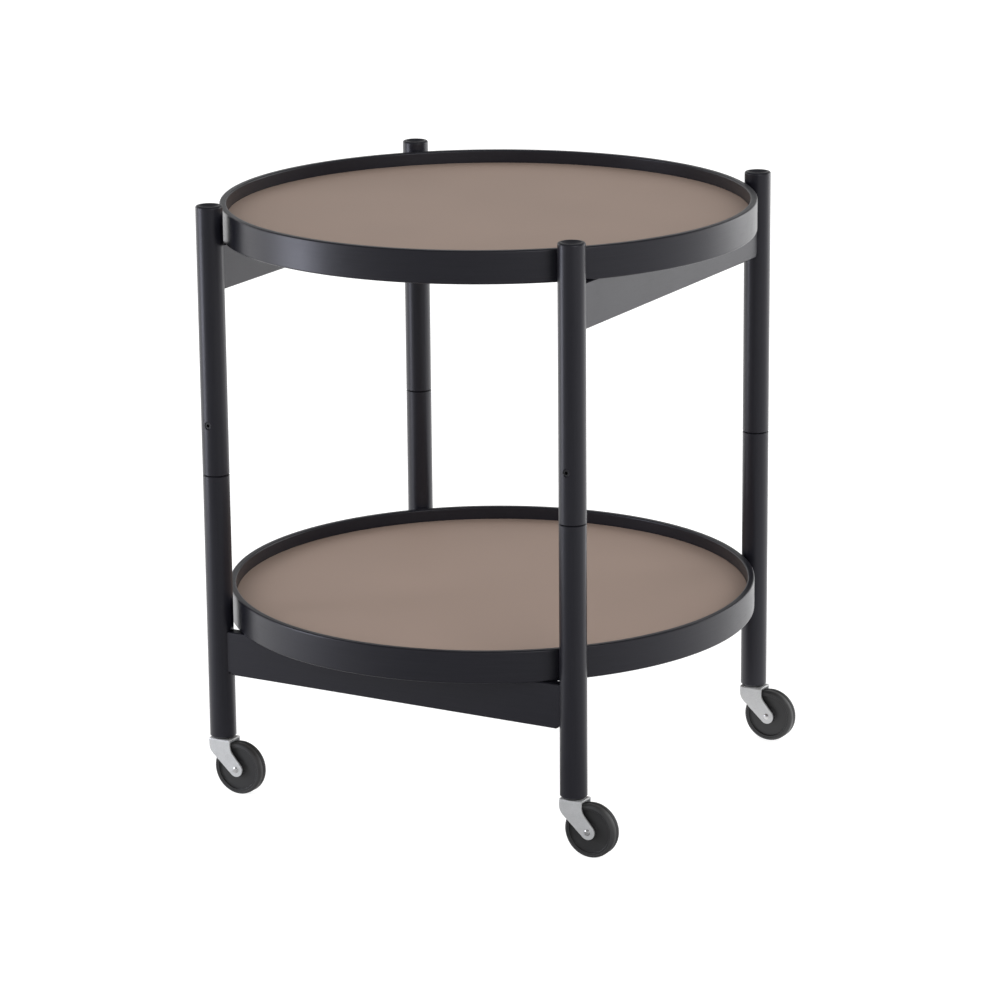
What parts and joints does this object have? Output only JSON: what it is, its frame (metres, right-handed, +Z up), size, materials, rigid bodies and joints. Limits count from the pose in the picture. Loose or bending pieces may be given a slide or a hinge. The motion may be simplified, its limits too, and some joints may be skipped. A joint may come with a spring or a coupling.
{
  "type": "serving trolley",
  "caption": "Round serving trolley: rimmed trays rest on boards between upright legs that part at mid height and run on swivel casters.",
  "frame": {"origin": "on the floor, under the middle of the trays", "axes": "+Z up, +X to the right along the lower boards, +Y to the rear along the upper boards"},
  "size_m": [0.4999, 0.5, 0.563],
  "materials": {
    "black_lacquered_wood": "satin black lacquer on beech, fine grain just visible",
    "taupe_laminate": "matt taupe laminate",
    "panel_core": "bare plywood, hidden",
    "zinc_plated_steel": "satin zinc plating on pressed steel",
    "bright_steel": "bright turned steel",
    "blackened_steel": "blackened steel",
    "black_washer_plastic": "matt black plastic",
    "black_wheel_plastic": "satin moulded black plastic",
    "tyre_rubber": "slightly worn black rubber"
  },
  "bodies": {
    "front_lower_frame": {"front_left_lower_leg": "black_lacquered_wood", "front_right_lower_leg": "black_lacquered_wood", "front_lower_board": "black_lacquered_wood", "front_pivot_rods": "bright_steel", "front_seam_washers": "black_washer_plastic", "front_left_socket_sleeve": "blackened_steel", "front_right_socket_sleeve": "blackened_steel"},
    "left_upper_frame": {"front_left_upper_leg": "black_lacquered_wood", "rear_left_upper_leg": "black_lacquered_wood", "left_upper_board": "black_lacquered_wood", "left_grub_screws": "blackened_steel"},
    "right_upper_frame": {"front_right_upper_leg": "black_lacquered_wood", "rear_right_upper_leg": "black_lacquered_wood", "right_upper_board": "black_lacquered_wood", "right_grub_screws": "blackened_steel"},
    "rear_lower_frame": {"rear_left_lower_leg": "black_lacquered_wood", "rear_right_lower_leg": "black_lacquered_wood", "rear_lower_board": "black_lacquered_wood", "rear_pivot_rods": "bright_steel", "rear_seam_washers": "black_washer_plastic", "rear_left_socket_sleeve": "blackened_steel", "rear_right_socket_sleeve": "blackened_steel"},
    "upper_tray": {"upper_tray_rim": "black_lacquered_wood", "upper_tray_core": "panel_core", "upper_tray_top_laminate": "taupe_laminate", "upper_tray_bottom_laminate": "taupe_laminate"},
    "lower_tray": {"lower_tray_rim": "black_lacquered_wood", "lower_tray_core": "panel_core", "lower_tray_top_laminate": "taupe_laminate", "lower_tray_bottom_laminate": "taupe_laminate"},
    "front_left_caster": {"front_left_caster_fork": "zinc_plated_steel", "front_left_caster_stem": "bright_steel", "front_left_stem_clip": "bright_steel", "front_left_thrust_washer": "black_washer_plastic", "front_left_axle_rivet": "bright_steel"},
    "front_left_wheel": {"front_left_wheel_core": "black_wheel_plastic", "front_left_tyre": "tyre_rubber"},
    "front_right_caster": {"front_right_caster_fork": "zinc_plated_steel", "front_right_caster_stem": "bright_steel", "front_right_stem_clip": "bright_steel", "front_right_thrust_washer": "black_washer_plastic", "front_right_axle_rivet": "bright_steel"},
    "front_right_wheel": {"front_right_wheel_core": "black_wheel_plastic", "front_right_tyre": "tyre_rubber"},
    "rear_right_caster": {"rear_right_caster_fork": "zinc_plated_steel", "rear_right_caster_stem": "bright_steel", "rear_right_stem_clip": "bright_steel", "rear_right_thrust_washer": "black_washer_plastic", "rear_right_axle_rivet": "bright_steel"},
    "rear_right_wheel": {"rear_right_wheel_core": "black_wheel_plastic", "rear_right_tyre": "tyre_rubber"},
    "rear_left_caster": {"rear_left_caster_fork": "zinc_plated_steel", "rear_left_caster_stem": "bright_steel", "rear_left_stem_clip": "bright_steel", "rear_left_thrust_washer": "black_washer_plastic", "rear_left_axle_rivet": "bright_steel"},
    "rear_left_wheel": {"rear_left_wheel_core": "black_wheel_plastic", "rear_left_tyre": "tyre_rubber"}
  },
  "joints": [
    {"name": "frame_fold", "type": "hinge", "parent": "front_lower_frame", "child": "left_upper_frame", "pos_m": [-0.18752, -0.18752, 0.3095], "axis": [0, 0, 1], "range_deg": [-0.5, 0.5]},
    {"name": "right_upper_frame_turn", "type": "hinge", "parent": "front_lower_frame", "child": "right_upper_frame", "pos_m": [0.18752, -0.18752, 0.3095], "axis": [0, 0, 1], "range_deg": [-0.5, 0.5]},
    {"name": "rear_lower_frame_turn", "type": "hinge", "parent": "left_upper_frame", "child": "rear_lower_frame", "pos_m": [-0.18752, 0.18752, 0.3095], "axis": [0, 0, 1], "range_deg": [-0.5, 0.5]},
    {"name": "upper_tray_lift", "type": "slide", "parent": "front_lower_frame", "child": "upper_tray", "axis": [0, 0, 1], "range_m": [0, 0.15]},
    {"name": "lower_tray_lift", "type": "slide", "parent": "front_lower_frame", "child": "lower_tray", "axis": [0, 0, 1], "range_m": [0, 0.28]},
    {"name": "front_left_caster_swivel", "type": "hinge", "parent": "front_lower_frame", "child": "front_left_caster", "pos_m": [-0.18752, -0.18752, 0.0535], "axis": [0, 0, 1], "continuous": true},
    {"name": "front_left_wheel_spin", "type": "hinge", "parent": "front_left_caster", "child": "front_left_wheel", "pos_m": [-0.16903, -0.18752, 0.025], "axis": [0, 1, 0], "continuous": true},
    {"name": "front_right_caster_swivel", "type": "hinge", "parent": "front_lower_frame", "child": "front_right_caster", "pos_m": [0.18752, -0.18752, 0.0535], "axis": [0, 0, 1], "continuous": true},
    {"name": "front_right_wheel_spin", "type": "hinge", "parent": "front_right_caster", "child": "front_right_wheel", "pos_m": [0.20603, -0.18752, 0.025], "axis": [0, 1, 0], "continuous": true},
    {"name": "rear_right_caster_swivel", "type": "hinge", "parent": "rear_lower_frame", "child": "rear_right_caster", "pos_m": [0.18752, 0.18752, 0.0535], "axis": [0, 0, 1], "continuous": true},
    {"name": "rear_right_wheel_spin", "type": "hinge", "parent": "rear_right_caster", "child": "rear_right_wheel", "pos_m": [0.20603, 0.18752, 0.025], "axis": [0, 1, 0], "continuous": true},
    {"name": "rear_left_caster_swivel", "type": "hinge", "parent": "rear_lower_frame", "child": "rear_left_caster", "pos_m": [-0.18752, 0.18752, 0.0535], "axis": [0, 0, 1], "continuous": true},
    {"name": "rear_left_wheel_spin", "type": "hinge", "parent": "rear_left_caster", "child": "rear_left_wheel", "pos_m": [-0.16903, 0.18752, 0.025], "axis": [0, 1, 0], "continuous": true}
  ],
  "couplings": [
    {"joint": "right_upper_frame_turn", "follows": "frame_fold", "ratio": 1},
    {"joint": "rear_lower_frame_turn", "follows": "frame_fold", "ratio": -1}
  ]
}
